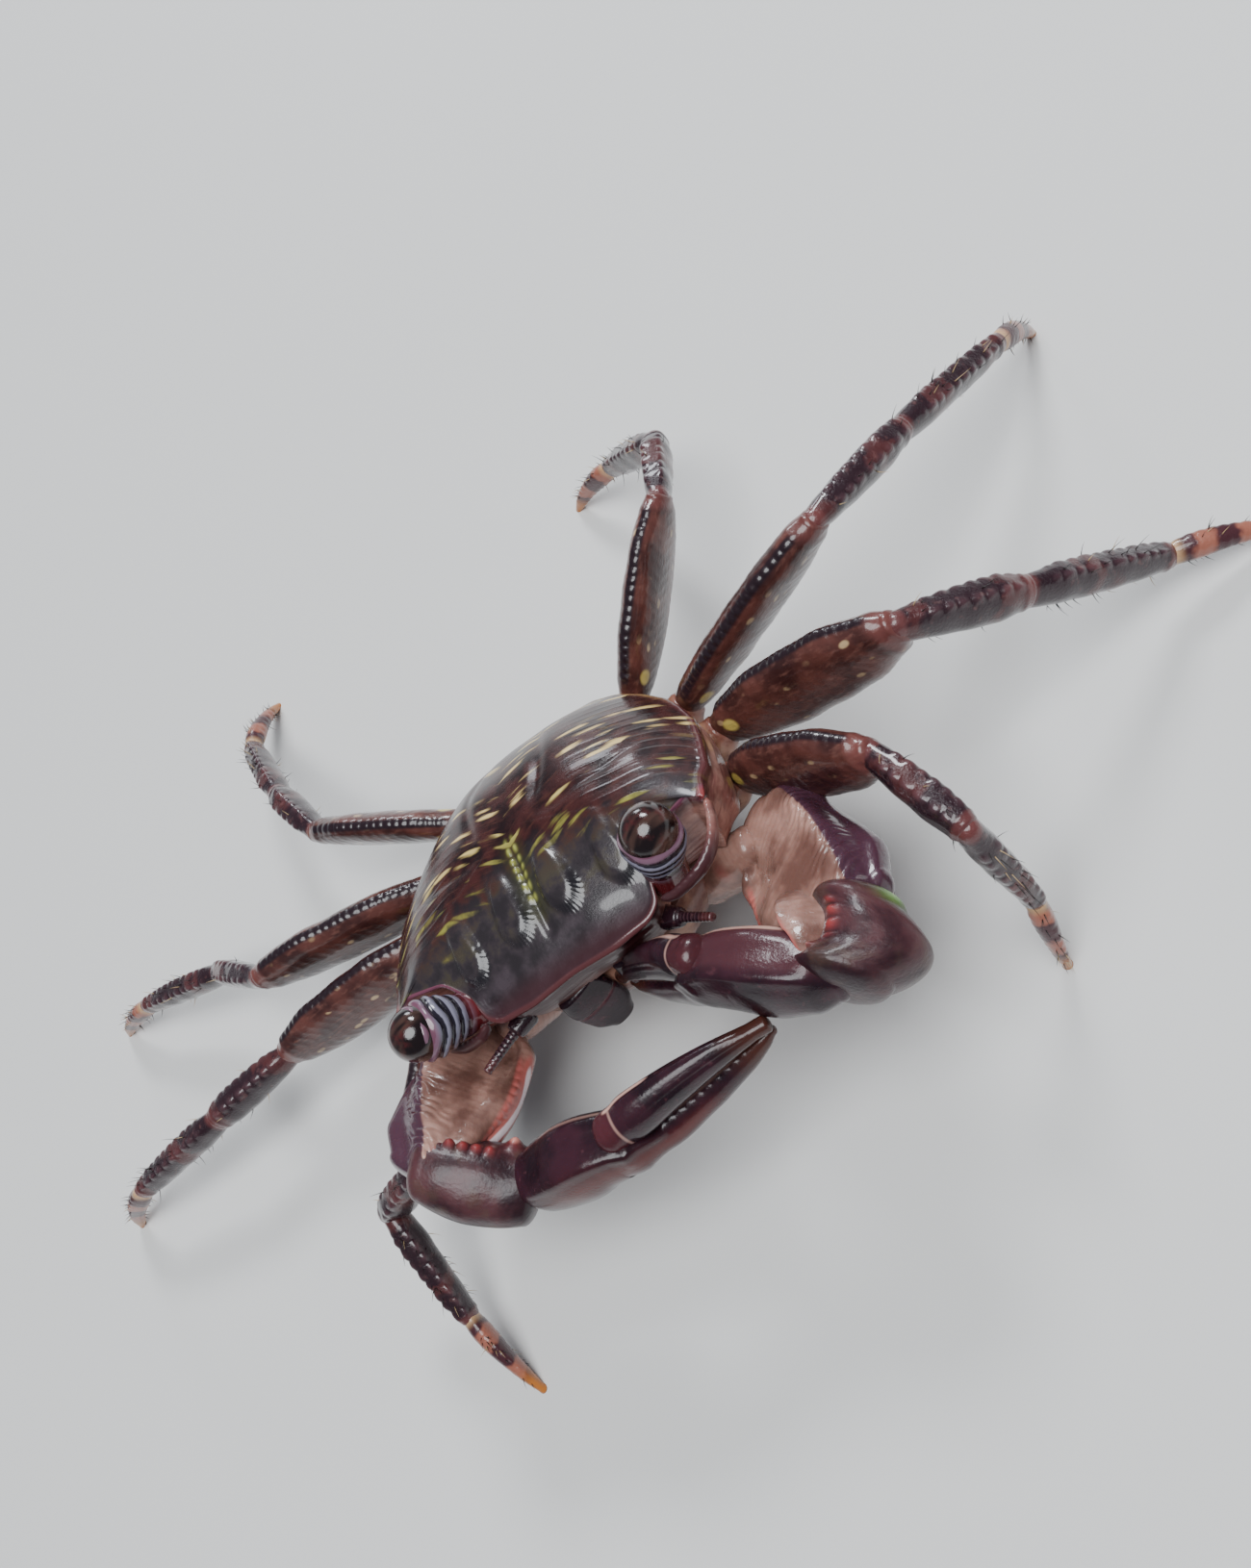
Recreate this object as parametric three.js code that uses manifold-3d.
// A shore crab of the marbled rock-crab kind, life size, braced on the tips of its eight walking legs
// with both claws drawn up before its mouth. Millimetres, +Z up from the surface it stands on, the
// crab facing -Y, so that its own left side is at +X.
import * as THREE from 'three';
import { mergeVertices } from 'three/addons/utils/BufferGeometryUtils.js';
import Module from 'manifold-3d';

const wasm = await Module();
wasm.setup();

// ---------------------------------------------------------------- driving dimensions
const shellWidth = 24;          // greatest breadth of the carapace: every other size follows it
const jointGap = 0.3;           // clear space between neighbouring plates
const standHeight = 12.4;       // the carapace's edge plane above the ground, under its middle
const pitch = -16.7;            // degrees: the front is raised
const lean = -2.2;              // degrees: the left side is a little higher
const eyeRadius = 1.62;
const limbSides = 8;            // sides of a limb's section
const fineSides = 6;            // and of the thinnest pieces and the hidden knuckles
const footFlat = 0.32;          // radius of the flat that each leg tip stands on

// The carapace's rim, one half, from the middle of the front to the middle of the back, in crab
// coordinates for a 24 mm shell: x out to the side, y back, z up.
const rim = [
  [0, -11.7, -0.55], [3.0, -11.9, -0.6], [5.4, -11.6, -0.65], [6.3, -10.9, -0.5],   // frontal margin
  [6.7, -9.4, 0.2], [8.0, -7.9, 0.85], [10.6, -7.3, 1.2],                           // over the eye
  [11.65, -8.2, 1.15], [11.6, -6.2, 0.7],                                           // tooth beside the eye
  [12.0, -5.4, 0.4], [12.0, -3.0, -0.15], [11.8, -0.7, -0.55],                      // second tooth, side
  [11.1, 1.2, -0.9], [10.3, 2.8, -1.15], [8.8, 4.8, -1.5], [7.1, 6.6, -1.8],        // side, tapering back
  [5.3, 7.7, -1.95], [2.9, 8.1, -1.9], [0, 8.2, -1.85],                             // back margin
];
const crown = [0, -2.6, 3.1];   // highest point of the shell
const frontLobes = 0.35;        // rise of the four lobes behind the front

// Limb segments from the body outwards: lengths as parts of the shell width.
const legLengths = {
  1: [0.483, 0.258, 0.342, 0.262],
  2: [0.621, 0.321, 0.417, 0.300],
  3: [0.633, 0.333, 0.421, 0.300],
  4: [0.525, 0.271, 0.358, 0.262],
};
const legGirth = { 1: 0.95, 2: 1.0, 3: 0.98, 4: 0.94 };
// Where each leg leaves the body, in crab coordinates on the left side.
const legRoots = { 1: [11.5, -2.5, -4.7], 2: [11.7, 1.5, -4.7], 3: [10.2, 4.9, -4.4], 4: [7.1, 7.5, -3.7] };
// The stance: each segment's heading from +X and its rise above level, in degrees. A dactylus has no
// rise of its own, because its tip comes down to the ground. roll leans the flat of the leg.
const legPose = {
  left: {
    1: { heading: [-37, -71, -90, -114], rise: [27, -7, -73], roll: -18 },
    2: { heading: [-21, -2, 2, -12], rise: [26, -37, -43], roll: -13 },
    3: { heading: [1, 30, 32, 53], rise: [29, -24, -32], roll: 24 },
    4: { heading: [42, 80, 132, 155], rise: [21, -24, -36], roll: 10 },
  },
  right: {
    1: { heading: [-118, -177, -89, -75], rise: [10, -30, -31], roll: 0 },
    2: { heading: [-179, -173, -178, 179], rise: [-2, -1, -10], roll: 10 },
    3: { heading: [176, 142, 162, 166], rise: [10, -24, -12], roll: 0 },
    4: { heading: [150, 117, 111, 80], rise: [6, -11, -19], roll: -10 },
  },
};
// Half thickness and half height of each leg segment along its length, as parts of the shell width.
const legForms = {
  merus: [[0, 0.036, 0.046], [0.12, 0.046, 0.078], [0.4, 0.05, 0.112], [0.7, 0.048, 0.11],
    [0.92, 0.042, 0.074], [1, 0.034, 0.048]],
  carpus: [[0, 0.031, 0.037], [0.3, 0.038, 0.048], [0.75, 0.041, 0.054], [1, 0.033, 0.042]],
  propodus: [[0, 0.031, 0.039], [0.25, 0.036, 0.047], [0.7, 0.033, 0.043], [1, 0.025, 0.032]],
  dactylus: [[0, 0.022, 0.028], [0.2, 0.027, 0.033], [0.6, 0.02, 0.024], [0.9, 0.014, 0.016]],
};

// The claws. The hip on the left side, then for each claw where its arm starts, and for each segment its
// length, heading, rise and the roll of its height.
const clawHip = [6.6, -6.2, -7.0];
const clawPose = {
  left: {
    root: [10.9, -7.0, -5.3],
    merus: { length: 0.4, heading: -63, rise: 21, roll: -93, girth: 1.08 },
    carpus: { length: 0.153, heading: -128, rise: 14, roll: -112, girth: 1, bow: 1.3 },
    palm: { length: 0.325, heading: 145.5, rise: 2, roll: 24 },
    finger: { length: 0.37, heading: 148, rise: -34, roll: 22 },
  },
  right: {
    root: [-9.2, -7.3, -5.3],
    merus: { length: 0.4, heading: -127, rise: 27, roll: 88, girth: 1.08 },
    carpus: { length: 0.25, heading: -38, rise: -27, roll: 90, girth: 0.84, bow: 0.3 },
    palm: { length: 0.343, heading: -8, rise: 15, roll: -12 },
    finger: { length: 0.421, heading: 5, rise: 1, roll: -12 },
  },
};
const clawForms = {
  ischium: [[0, 0.05, 0.06], [0.6, 0.062, 0.075], [1, 0.05, 0.06]],
  merus: [[0, 0.06, 0.08], [0.14, 0.07, 0.132], [0.5, 0.075, 0.15], [0.82, 0.075, 0.142],
    [1, 0.06, 0.095]],
  carpus: [[-0.35, 0.055, 0.055], [-0.06, 0.1, 0.098], [0.45, 0.12, 0.118], [1, 0.114, 0.11],
    [1.3, 0.068, 0.066]],
  palm: [[0, 0.05, 0.056], [0.16, 0.074, 0.088], [0.5, 0.086, 0.104], [0.8, 0.078, 0.096],
    [0.96, 0.062, 0.078]],
  fixedFinger: [[-0.2, 0.055, 0.06], [0, 0.052, 0.062], [0.3, 0.042, 0.052], [0.65, 0.032, 0.038],
    [0.9, 0.022, 0.024]],
  finger: [[-0.02, 0.05, 0.05], [0.12, 0.05, 0.058], [0.4, 0.042, 0.05], [0.7, 0.03, 0.036],
    [0.92, 0.02, 0.022]],
};
const fixedFingerDrop = 0.062;  // the fixed finger's root, below the palm's axis, in shell widths
const hingeRise = 0.038;        // and the movable finger's hinge, above it
const tipGap = 0.016;           // half the space between the two finger tips
const fingerBow = 0.5;          // how far each finger bows away from the other, in mm

// Mouth doors and feelers, on the left side in crab coordinates, with forms like the limbs'.
const mouthDoors = {
  top: [2.1, -10.0, -3.6],
  foot: [2.0, -9.7, -7.8],
  form: [[0, 0.058, 0.022], [0.3, 0.068, 0.025], [0.75, 0.062, 0.025], [1, 0.04, 0.022]],
};
const feelers = {
  root: [5.3, -10.0, -2.9],
  tip: [8.2, -12.4, -2.2],
  form: [[0, 0.03, 0.03], [0.3, 0.022, 0.022], [0.34, 0.013, 0.013], [1, 0.0105, 0.0105]],
};
const stalkForm = [[0, 0.05, 0.05], [0.4, 0.056, 0.056], [0.8, 0.066, 0.066], [0.95, 0.058, 0.058]];
const knuckleForm = [[0, 0.056, 0.07], [0.7, 0.058, 0.07], [1, 0.045, 0.055]];
const knuckleInset = { out: 0.68, back: 0.86, down: 1.3 };  // its inner end, from the leg's root
const limbSquareness = 2.3;     // 2 is an ellipse, more has flatter sides
const limbEndDepth = 0.55;      // a limb's rounded end sticks out by this share of its thickness
const limbEndTaper = 0.5;       // and its last ring is this share of the ring before
const toeBow = 0.06;            // a leg tip arches by this share of its length

// ---------------------------------------------------------------- colours of the parts
const finish = {
  shell: new THREE.MeshStandardMaterial({ color: 0x2a1512, roughness: 0.22, metalness: 0 }),
  underside: new THREE.MeshStandardMaterial({ color: 0xb98a6c, roughness: 0.4, metalness: 0 }),
  eye: new THREE.MeshStandardMaterial({ color: 0x120c0c, roughness: 0.08, metalness: 0 }),
  stalk: new THREE.MeshStandardMaterial({ color: 0x4a3f4c, roughness: 0.2, metalness: 0 }),
  claw: new THREE.MeshStandardMaterial({ color: 0x3b1419, roughness: 0.2, metalness: 0 }),
  clawArm: new THREE.MeshStandardMaterial({ color: 0x9a6650, roughness: 0.3, metalness: 0 }),
  thigh: new THREE.MeshStandardMaterial({ color: 0x4e2a1f, roughness: 0.35, metalness: 0 }),
  shin: new THREE.MeshStandardMaterial({ color: 0x33191d, roughness: 0.3, metalness: 0 }),
  toe: new THREE.MeshStandardMaterial({ color: 0x6b3a2a, roughness: 0.35, metalness: 0 }),
};

// ---------------------------------------------------------------- small geometry helpers
const vector = ([x, y, z]) => new THREE.Vector3(x, y, z);
const radians = THREE.MathUtils.degToRad;

// From crab coordinates to the ground: pitch, then lean, then up to standing height.
const stance = new THREE.Matrix4()
  .makeTranslation(0, 0, standHeight)
  .multiply(new THREE.Matrix4().makeRotationY(radians(lean)))
  .multiply(new THREE.Matrix4().makeRotationX(radians(pitch)));
const onGround = (point) => vector(point).applyMatrix4(stance);
const sideSign = { left: 1, right: -1 };
const onSide = (side, [x, y, z]) => onGround([sideSign[side] * x, y, z]);

// The unit vector along a heading and a rise, in degrees.
function direction(heading, rise) {
  const h = radians(heading);
  const r = radians(rise);
  return new THREE.Vector3(Math.cos(r) * Math.cos(h), Math.cos(r) * Math.sin(h), Math.sin(r));
}

// Axes of a limb segment: along it, up its height and across it. At roll 0 the height is vertical.
function axes(along, roll) {
  const level = new THREE.Vector3(0, 0, 1).addScaledVector(along, -along.z).normalize();
  const up = level.applyAxisAngle(along, radians(roll));
  return { along, up, across: new THREE.Vector3().crossVectors(along, up) };
}

// One closed solid through a row of rings of equal count, each end closed by a fan.
function skin(rings) {
  const count = rings[0].length;
  const points = rings.flat();
  const faces = [];
  for (let r = 0; r + 1 < rings.length; r += 1) {
    for (let i = 0; i < count; i += 1) {
      const next = (i + 1) % count;
      const [a, b, c, d] = [r * count + i, r * count + next, (r + 1) * count + i, (r + 1) * count + next];
      faces.push(a, b, c, b, d, c);
    }
  }
  const lastRing = (rings.length - 1) * count;
  for (const [first, turned] of [[0, true], [lastRing, false]]) {
    const middle = new THREE.Vector3();
    for (let i = 0; i < count; i += 1) middle.addScaledVector(points[first + i], 1 / count);
    const hub = points.push(middle) - 1;
    for (let i = 0; i < count; i += 1) {
      const [a, b] = [first + i, first + (i + 1) % count];
      faces.push(...(turned ? [hub, b, a] : [hub, a, b]));
    }
  }
  const solid = toSolid(points.flatMap((p) => p.toArray()), faces);
  return solid;
}

// A solid from a list of coordinates and faces, turned right side out if it came inside out.
function toSolid(coordinates, faces) {
  const corner = (i) => new THREE.Vector3().fromArray(coordinates, 3 * i);
  let volume = 0;
  for (let f = 0; f < faces.length; f += 3) {
    volume += corner(faces[f]).dot(corner(faces[f + 1]).cross(corner(faces[f + 2])));
  }
  const outward = volume > 0 ? faces : faces.map((_, i) => faces[i - (i % 3) + [0, 2, 1][i % 3]]);
  return new wasm.Manifold(new wasm.Mesh({
    numProp: 3, vertProperties: new Float32Array(coordinates), triVerts: new Uint32Array(outward),
  }));
}

// A solid from a three.js geometry, with its repeated corners merged.
function solidOf(geometry) {
  const bare = geometry.index ? geometry.toNonIndexed() : geometry.clone();
  bare.deleteAttribute('normal');
  bare.deleteAttribute('uv');
  const merged = mergeVertices(bare, 1e-4);
  return toSolid(Array.from(merged.attributes.position.array), Array.from(merged.index.array));
}

// An oval ring about a centre. squareness above 2 flattens its sides.
function oval(centre, frame, halfAcross, halfUp, squareness = limbSquareness, sides = limbSides) {
  const power = 2 / squareness;
  const bend = (value) => Math.sign(value) * Math.abs(value) ** power;
  return Array.from({ length: sides }, (_, i) => {
    const turn = (2 * Math.PI * (i + 0.5)) / sides;
    return centre.clone()
      .addScaledVector(frame.across, halfAcross * bend(Math.cos(turn)))
      .addScaledVector(frame.up, halfUp * bend(Math.sin(turn)));
  });
}

// A limb segment: its form's rings strung along a line that bows upwards, with rounded ends.
function segment(start, frame, length, form, { girth = 1, bow = 0, grow = 0, sides = limbSides } = {}) {
  const size = girth * shellWidth;
  const place = (t, extra = 0) => start.clone()
    .addScaledVector(frame.along, t * length + extra)
    .addScaledVector(frame.up, 4 * bow * t * (1 - t));
  const ring = (centre, across, up) => oval(
    centre, frame, across * size + grow, up * size + grow, limbSquareness, sides,
  );
  const rings = form.map(([t, across, up]) => ring(place(t), across, up));
  const [firstT, firstAcross, firstUp] = form[0];
  const [lastT, lastAcross, lastUp] = form[form.length - 1];
  const cap = (t, across, up, way) => {
    const depth = limbEndDepth * Math.min(across, up) * size + grow;
    return ring(place(t, way * depth), limbEndTaper * across, limbEndTaper * up);
  };
  return skin([cap(firstT, firstAcross, firstUp, -1), ...rings, cap(lastT, lastAcross, lastUp, 1)]);
}

// A segment from one point to another, its height upright.
function rod(from, to, form, options) {
  const along = to.clone().sub(from);
  return segment(from, axes(along.clone().normalize(), 0), along.length(), form, options);
}

// ---------------------------------------------------------------- parts and their neighbours
const parts = [];

// Keeps a part, trimmed clear of every earlier one, and remembers it grown by the gap. make(grow)
// returns the part's solid with all its surfaces moved out by grow.
function addPart(name, material, make, pivot) {
  let solid = make(0);
  for (const earlier of parts) {
    if (boxesMeet(solid, earlier.grown)) solid = solid.subtract(earlier.grown);
  }
  const largest = solid.decompose().reduce((best, piece) => (piece.volume() > best.volume() ? piece : best));
  parts.push({ name, material, solid: largest, grown: make(jointGap), pivot });
}

function boxesMeet(a, b) {
  const [p, q] = [a.boundingBox(), b.boundingBox()];
  return [0, 1, 2].every((k) => p.min[k] < q.max[k] && q.min[k] < p.max[k]);
}

// ---------------------------------------------------------------- the body
// The whole rim: the left half, then its mirror image back to the front.
const rimRow = [...rim, ...rim.slice(1, -1).reverse().map(([x, y, z]) => [-x, y, z])];

// Height of the shell's back over the rim: a dome that falls more gently towards the front.
function shellPoint([x, y, z], reach) {
  const forward = THREE.MathUtils.clamp((-y - 4) / 7, 0, 1);
  const power = THREE.MathUtils.lerp(2.5, 1.6, forward);
  const rise = (crown[2] - z) * (1 - reach ** power);
  const px = crown[0] + reach * (x - crown[0]);
  const py = crown[1] + reach * (y - crown[1]);
  const lobe = frontLobes * Math.exp(-(((py + 8.7) / 0.9) ** 2)) * (Math.abs(px) < 7 ? 1 : 0);
  return [px, py, z + rise + lobe];
}

// Outward directions of the rim in plan.
const rimNormals = rimRow.map((_, i) => {
  const before = rimRow.at(i - 1);
  const after = rimRow[(i + 1) % rimRow.length];
  return new THREE.Vector2(after[1] - before[1], before[0] - after[0]).normalize();
});

function shellRing(reach, grow) {
  return rimRow.map((point, i) => {
    const [x, y, z] = shellPoint(point, reach);
    const out = rimNormals[i].clone().multiplyScalar(grow * reach);
    return onGround([x + out.x, y + out.y, z + grow * (1.4 - reach)]);
  });
}

// The side wall turns in under the rim. It is deepest under the front and the eyes.
const wallDepth = 3.6;
const wallFloor = -4.1;

function wallRing(depth, grow) {
  const share = depth / wallDepth;
  return rimRow.map(([x, y, z], i) => {
    const front = THREE.MathUtils.clamp((-y - 5.8) / 2, 0, 1);
    const inset = THREE.MathUtils.lerp(0.9, 2.3, front) * share ** THREE.MathUtils.lerp(1.3, 0.6, front);
    const reach = Math.hypot(x, y - crown[1]);
    const scale = (reach - inset) / reach;
    const out = rimNormals[i].clone().multiplyScalar(grow);
    const level = THREE.MathUtils.lerp(z - depth, wallFloor, share) - grow * share;
    return onGround([x * scale + out.x, crown[1] + (y - crown[1]) * scale + out.y, level]);
  });
}

function carapace(grow) {
  const back = [0.2, 0.52, 0.82, 1].map((reach) => shellRing(reach, grow));
  const wall = [0.5, 1.6, wallDepth].map((depth) => wallRing(depth, grow));
  return skin([...back, ...wall]);
}

// Breastplate and mouth frame under the shell, and the knuckle that each limb turns on.
const breastLevels = [
  { z: -4.5, x: 9.4, front: -8.9, back: 8.2 }, { z: -5.6, x: 9.2, front: -9.3, back: 8.0 },
  { z: -7.4, x: 7.6, front: -9.0, back: 6.9 }, { z: -8.5, x: 5.6, front: -7.6, back: 5.2 },
];
const breastSides = 20;
const breastSquareness = 0.8;   // 1 is an ellipse, less has fuller corners

function breastRing({ z, x, front, back }, grow, level) {
  return Array.from({ length: breastSides }, (_, i) => {
    const turn = (2 * Math.PI * i) / breastSides;
    const middle = (front + back) / 2;
    const half = (back - front) / 2 + grow;
    const bend = (value) => Math.sign(value) * Math.abs(value) ** breastSquareness;
    const out = (x + grow) * bend(Math.cos(turn));
    return onGround([out, middle + half * bend(Math.sin(turn)), z - grow * level]);
  });
}

function knuckle(root, side, grow) {
  const [x, y, z] = root;
  const outer = onSide(side, root);
  const inner = onSide(side, [x * knuckleInset.out, y * knuckleInset.back, z - knuckleInset.down]);
  const along = outer.clone().sub(inner);
  const length = along.length() - 0.2;
  return segment(inner, axes(along.normalize(), 0), length, knuckleForm, { grow, sides: fineSides });
}

function underbody(grow) {
  let solid = skin(breastLevels.map((level, i) => breastRing(level, grow, i ? 1 : -1)));
  for (const side of ['left', 'right']) {
    for (const root of Object.values(legRoots)) solid = solid.add(knuckle(root, side, grow));
  }
  return solid;
}

// The tail, folded flat forward under the breastplate: a tapering plate that wraps round the back.
const tailPath = [
  { y: 8.7, z: -4.9, half: 3.4 }, { y: 8.9, z: -6.4, half: 3.3 }, { y: 7.4, z: -8.4, half: 3.1 },
  { y: 4.4, z: -9.25, half: 2.7 }, { y: 1.2, z: -9.35, half: 2.1 }, { y: -2.2, z: -9.3, half: 1.2 },
  { y: -4.0, z: -9.2, half: 0.6 },
];
const tailThickness = 0.7;

function tail(grow) {
  const rings = tailPath.map(({ y, z, half }, i) => {
    const before = tailPath[Math.max(i - 1, 0)];
    const after = tailPath[Math.min(i + 1, tailPath.length - 1)];
    const along = new THREE.Vector3(0, after.y - before.y, after.z - before.z).normalize();
    const frame = { across: new THREE.Vector3(1, 0, 0), up: new THREE.Vector3(1, 0, 0).cross(along) };
    const end = i === 0 ? -grow : 0;
    const centre = new THREE.Vector3(0, y, z).addScaledVector(along, end);
    const ring = oval(centre, frame, half + grow, tailThickness / 2 + grow, 3);
    return ring.map((p) => onGround(p.toArray()));
  });
  return skin(rings);
}

// The outer mouthparts: a pair of plates that close the mouth like doors.
function mouthDoor(side, grow) {
  const { top, foot, form } = mouthDoors;
  return rod(onSide(side, top), onSide(side, foot), form, { grow, sides: fineSides });
}

// ---------------------------------------------------------------- eyes and feelers
const eyeCentres = { left: [8.6, -9.4, 2.7], right: [-9.35, -10.9, 2.1] };
const stalkRoot = [6.9, -9.0, -1.3];

function eye(side, grow) {
  const ball = new THREE.SphereGeometry(eyeRadius + grow, 12, 8);
  const centre = onGround(eyeCentres[side]);
  return solidOf(ball.translate(centre.x, centre.y, centre.z));
}

function stalk(side, grow) {
  return rod(onSide(side, stalkRoot), onGround(eyeCentres[side]), stalkForm, { grow });
}

function feeler(side, grow) {
  const { root, tip, form } = feelers;
  return rod(onSide(side, root), onSide(side, tip), form, { grow, sides: fineSides });
}

// ---------------------------------------------------------------- limbs
const segmentNames = ['merus', 'carpus', 'propodus', 'dactylus'];

// A leg tip ends in a small flat on the ground, so its last rings lean over to level.
function toe(start, end, frame, girth, grow) {
  const length = end.distanceTo(start);
  const size = girth * shellWidth;
  const rings = legForms.dactylus.map(([t, across, up]) => {
    const arch = toeBow * length * 4 * t * (1 - t);
    const centre = start.clone().lerp(end, t).addScaledVector(frame.up, arch);
    return oval(centre, frame, across * size + grow, up * size + grow, limbSquareness, fineSides);
  });
  const level = { across: new THREE.Vector3(frame.across.x, frame.across.y, 0).normalize() };
  level.up = new THREE.Vector3().crossVectors(level.across, new THREE.Vector3(0, 0, 1));
  if (level.up.dot(frame.up) < 0) level.up.negate();
  const lean = level.across.dot(frame.across) < 0 ? -1 : 1;
  level.across.multiplyScalar(lean);
  const foot = oval(end.clone(), level, footFlat + grow, footFlat + grow, 2, fineSides);
  const heel = start.clone().addScaledVector(frame.along, -0.3 - grow);
  const first = oval(heel, frame, 0.014 * size + grow, 0.018 * size + grow, limbSquareness, fineSides);
  return skin([first, ...rings, foot]);
}

function addLeg(side, number) {
  const pose = legPose[side][number];
  const girth = legGirth[number];
  let start = onSide(side, legRoots[number]);
  segmentNames.forEach((segmentName, i) => {
    const length = legLengths[number][i] * shellWidth;
    const name = `leg_${side}_${number}_${segmentName}`;
    const from = start.clone();
    if (segmentName === 'dactylus') {
      const rise = THREE.MathUtils.radToDeg(Math.asin(-from.z / length));
      const frame = axes(direction(pose.heading[i], rise), pose.roll);
      const end = from.clone().addScaledVector(frame.along, length);
      end.z = 0;
      addPart(name, finish.toe, (grow) => toe(from, end, frame, girth, grow), from);
      return;
    }
    const frame = axes(direction(pose.heading[i], pose.rise[i]), pose.roll);
    const material = segmentName === 'merus' ? finish.thigh : finish.shin;
    const form = legForms[segmentName];
    addPart(name, material, (grow) => segment(from, frame, length, form, { girth, grow }), from);
    start = from.clone().addScaledVector(frame.along, length);
  });
}

function addClaw(side) {
  const pose = clawPose[side];
  const root = onGround(pose.root);
  const hip = onSide(side, clawHip);
  const hipAlong = root.clone().sub(hip);
  addPart(`claw_${side}_ischium`, finish.clawArm, (grow) => segment(
    hip, axes(hipAlong.clone().normalize(), 0), hipAlong.length() - jointGap, clawForms.ischium, { grow },
  ), hip);

  const frames = {};
  const starts = {};
  let start = root;
  for (const name of ['merus', 'carpus', 'palm', 'finger']) {
    frames[name] = axes(direction(pose[name].heading, pose[name].rise), pose[name].roll);
    starts[name] = start;
    start = start.clone().addScaledVector(frames[name].along, pose[name].length * shellWidth);
  }
  const tip = start;
  const lengthOf = (name) => pose[name].length * shellWidth;

  addPart(`claw_${side}_carpus`, finish.claw, (grow) => segment(
    starts.carpus, frames.carpus, lengthOf('carpus'), clawForms.carpus,
    { girth: pose.carpus.girth, bow: pose.carpus.bow, grow },
  ), starts.carpus);
  addPart(`claw_${side}_merus`, finish.clawArm, (grow) => segment(
    starts.merus, frames.merus, lengthOf('merus'), clawForms.merus, { girth: pose.merus.girth, grow },
  ), starts.merus);

  // The movable finger turns on the palm's upper half; the fixed one grows from its lower half.
  const hinge = starts.finger.clone().addScaledVector(frames.palm.up, hingeRise * shellWidth);
  const fixedRoot = starts.finger.clone().addScaledVector(frames.palm.up, -fixedFingerDrop * shellWidth);
  const reach = (from, share) => {
    const end = tip.clone().addScaledVector(frames.finger.up, share * shellWidth);
    const along = end.sub(from);
    return { length: along.length(), frame: axes(along.normalize(), pose.finger.roll) };
  };
  const upper = reach(hinge, tipGap);
  const lower = reach(fixedRoot, -tipGap);
  const fixedFinger = (grow) => segment(
    fixedRoot, lower.frame, lower.length, clawForms.fixedFinger, { grow, bow: -fingerBow },
  );
  addPart(`claw_${side}_palm`, finish.claw, (grow) => segment(
    starts.palm, frames.palm, lengthOf('palm'), clawForms.palm, { grow },
  ).add(fixedFinger(grow)), starts.palm);
  addPart(`claw_${side}_finger`, finish.claw, (grow) => segment(
    hinge, upper.frame, upper.length, clawForms.finger, { grow, bow: fingerBow },
  ), hinge);
}

// ---------------------------------------------------------------- the whole crab
addPart('carapace', finish.shell, carapace, onGround([0, 0, 0]));
addPart('underbody', finish.underside, underbody, onGround([0, 0, -6]));
addPart('abdomen', finish.underside, tail, onGround([0, 4, -9]));
for (const side of ['left', 'right']) {
  addPart(`eye_${side}`, finish.eye, (grow) => eye(side, grow), onGround(eyeCentres[side]));
  addPart(`eyestalk_${side}`, finish.stalk, (grow) => stalk(side, grow), onGround(eyeCentres[side]));
  const doorTop = onSide(side, mouthDoors.top);
  addPart(`mouthpart_${side}`, finish.underside, (grow) => mouthDoor(side, grow), doorTop);
  addPart(`antenna_${side}`, finish.shin, (grow) => feeler(side, grow), onSide(side, feelers.root));
}
for (const side of ['left', 'right']) addClaw(side);
for (const side of ['left', 'right']) {
  for (const number of [1, 2, 3, 4]) addLeg(side, number);
}

const crab = new THREE.Group();
for (const { name, material, solid, pivot } of parts) {
  const { vertProperties, triVerts } = solid.getMesh();
  const geometry = new THREE.BufferGeometry();
  geometry.setAttribute('position', new THREE.BufferAttribute(Float32Array.from(vertProperties), 3));
  geometry.setIndex(Array.from(triVerts));
  geometry.translate(-pivot.x, -pivot.y, -pivot.z);
  geometry.computeVertexNormals();
  const mesh = new THREE.Mesh(geometry, material);
  mesh.name = name;
  mesh.position.copy(pivot);
  crab.add(mesh);
}

// The origin is on the ground under the middle of the whole crab.
const extent = new THREE.Box3().setFromObject(crab);
crab.position.set(-(extent.min.x + extent.max.x) / 2, -(extent.min.y + extent.max.y) / 2, 0);

export default crab;
